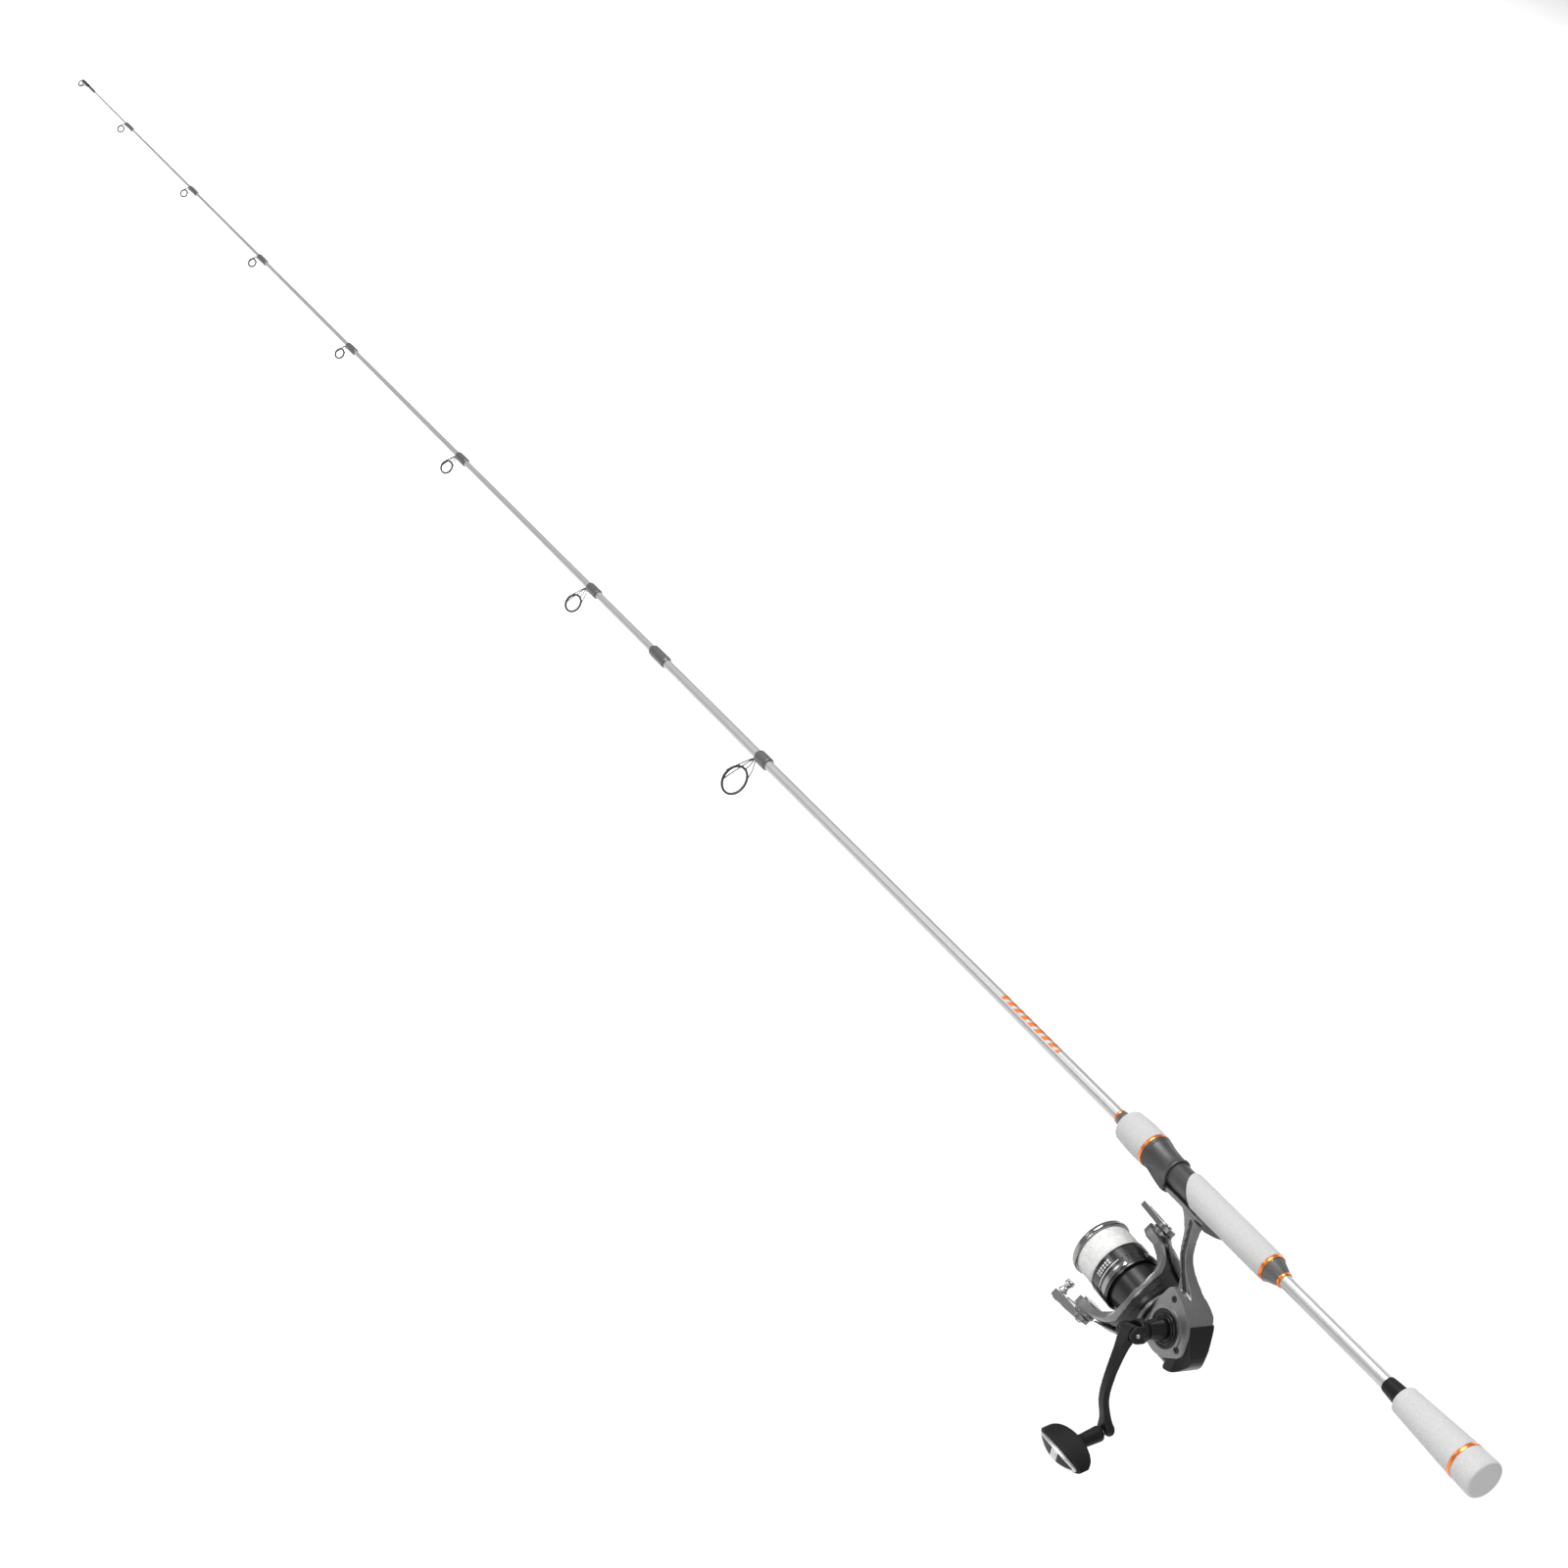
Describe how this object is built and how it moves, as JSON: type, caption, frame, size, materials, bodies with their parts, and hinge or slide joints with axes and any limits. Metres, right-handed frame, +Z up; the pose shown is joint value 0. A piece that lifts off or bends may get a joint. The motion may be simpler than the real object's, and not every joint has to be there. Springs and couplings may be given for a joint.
{
  "type": "spinning fishing rod with reel",
  "caption": "Jointed spinning fishing rod with foam grips and line guides, and a spinning reel with a folding crank, rotor, bail and spool hung below it",
  "frame": {"origin": "centre of the flat butt face of the rod", "axes": "+X along the rod from butt to tip, +Z up, away from the reel, +Y to the side that carries the crank"},
  "size_m": [2.0989, 0.1452, 0.1792],
  "materials": {
    "blank": "silver pearl lacquer over a graphite tube, orange and dark stripes",
    "eva": "light grey closed-cell foam with a fine speckle",
    "orange_trim": "orange anodised",
    "black_trim": "soft black",
    "grey_trim": "dark grey lacquer",
    "seat": "matte graphite-filled nylon",
    "arbor": "rigid foam",
    "wrap": "dark grey thread under clear epoxy",
    "guide_metal": "dark gunmetal plating",
    "guide_ring": "polished grey ceramic",
    "reel_grey": "satin metallic grey paint over fibre-filled nylon",
    "reel_black": "satin black",
    "reel_dark": "satin dark grey paint",
    "steel": "plain steel",
    "gear_zinc": "die-cast zinc",
    "brass": "machined",
    "knob_rubber": "soft matte rubber",
    "spool_black": "gloss black with stripes",
    "lip_metal": "polished",
    "line": "clear white nylon line, close wound"
  },
  "bodies": {
    "rod": {"butt_blank": "blank", "butt_cap": "eva", "butt_ring": "orange_trim", "rear_grip": "eva", "rear_check": "black_trim", "blank_ring": "orange_trim", "grip_check": "grey_trim", "grip_ring": "orange_trim", "main_grip": "eva", "reel_seat": "seat", "seat_arbors": "arbor", "stripper_frame": "guide_metal", "stripper_ring": "guide_ring", "butt_wraps": "wrap", "reel_body": "reel_grey", "side_cover": "reel_grey", "cover_screws": "reel_black", "rear_cover": "reel_black", "shaft_collar": "reel_black", "gear_bearings": "steel", "pinion_bearing": "steel", "reverse_clutch": "steel"},
    "hood": {"front_hood": "seat", "foregrip_ring": "orange_trim", "foregrip": "eva", "fore_check": "grey_trim", "fore_ring": "orange_trim"},
    "tip": {"tip_blank": "blank", "guide_frames": "guide_metal", "guide_rings": "guide_ring", "guide_wraps": "wrap", "tip_top": "guide_metal"},
    "lever": {"reverse_lever": "reel_dark"},
    "crank": {"drive_gear": "gear_zinc", "handle_shaft": "reel_black", "shaft_cap": "reel_black", "fold_pin": "steel"},
    "arm": {"handle_arm": "reel_black", "knob_post": "steel"},
    "grip_knob": {"knob": "knob_rubber", "knob_cap": "steel"},
    "rotor": {"pinion": "brass", "rotor": "reel_grey", "rotor_nut": "steel", "arm_covers": "reel_dark"},
    "bail": {"bail_lever": "reel_dark", "bail_holder": "reel_dark", "bail_wire": "steel", "roller_screw": "steel", "bail_screws": "steel"},
    "roller": {"line_roller": "steel"},
    "shaft": {"main_shaft": "steel", "slider": "brass"},
    "lay_wheel": {"oscillation_gear": "brass"},
    "spool": {"spool": "spool_black", "spool_lip": "lip_metal", "spool_band": "lip_metal", "line": "line", "drag_washers": "steel"},
    "drag": {"drag_knob": "reel_dark"}
  },
  "joints": [
    {"name": "hood_slide", "type": "slide", "parent": "rod", "child": "hood", "axis": [1, 0, 0], "range_m": [0, 0.014]},
    {"name": "tip_slide", "type": "slide", "parent": "rod", "child": "tip", "axis": [1, 0, 0], "range_m": [0, 0.06]},
    {"name": "reverse_switch", "type": "hinge", "parent": "rod", "child": "lever", "pos_m": [0.28247, 0, -0.10867], "axis": [0.9986, 0, 0.0523], "range_deg": [0, 35]},
    {"name": "crank_spin", "type": "hinge", "parent": "rod", "child": "crank", "pos_m": [0.27158, 0, -0.08421], "axis": [0, 1, 0], "continuous": true},
    {"name": "arm_fold", "type": "hinge", "parent": "crank", "child": "arm", "pos_m": [0.27158, 0.046, -0.08421], "axis": [-0.9511, 0, 0.309], "range_deg": [0, 35]},
    {"name": "knob_spin", "type": "hinge", "parent": "arm", "child": "grip_knob", "pos_m": [0.251, 0.0544, -0.14755], "axis": [-0.0852, 0.9613, -0.2621], "continuous": true},
    {"name": "rotor_spin", "type": "hinge", "parent": "rod", "child": "rotor", "pos_m": [0.27, 0, -0.0923], "axis": [0.9986, 0, 0.0523], "continuous": true},
    {"name": "bail_swing", "type": "hinge", "parent": "rotor", "child": "bail", "pos_m": [0.33791, 0, -0.08874], "axis": [-0.0453, -0.5, 0.8648], "range_deg": [0, 115]},
    {"name": "roller_spin", "type": "hinge", "parent": "bail", "child": "roller", "pos_m": [0.36653, 0.01671, -0.12094], "axis": [-0.0453, -0.5, 0.8648], "continuous": true},
    {"name": "shaft_slide", "type": "slide", "parent": "rod", "child": "shaft", "axis": [0.9986, 0, 0.0523], "range_m": [-0.0125, 0]},
    {"name": "lay_wheel_spin", "type": "hinge", "parent": "rod", "child": "lay_wheel", "pos_m": [0.25988, 0, -0.09183], "axis": [0, 1, 0], "continuous": true},
    {"name": "spool_spin", "type": "hinge", "parent": "shaft", "child": "spool", "pos_m": [0.27, 0, -0.0923], "axis": [0.9986, 0, 0.0523], "continuous": true},
    {"name": "drag_turn", "type": "hinge", "parent": "shaft", "child": "drag", "pos_m": [0.27, 0, -0.0923], "axis": [0.9986, 0, 0.0523], "range_deg": [-270, 270]}
  ],
  "couplings": [
    {"joint": "rotor_spin", "follows": "crank_spin", "ratio": 5.2},
    {"joint": "lay_wheel_spin", "follows": "crank_spin", "ratio": -0.64286}
  ]
}
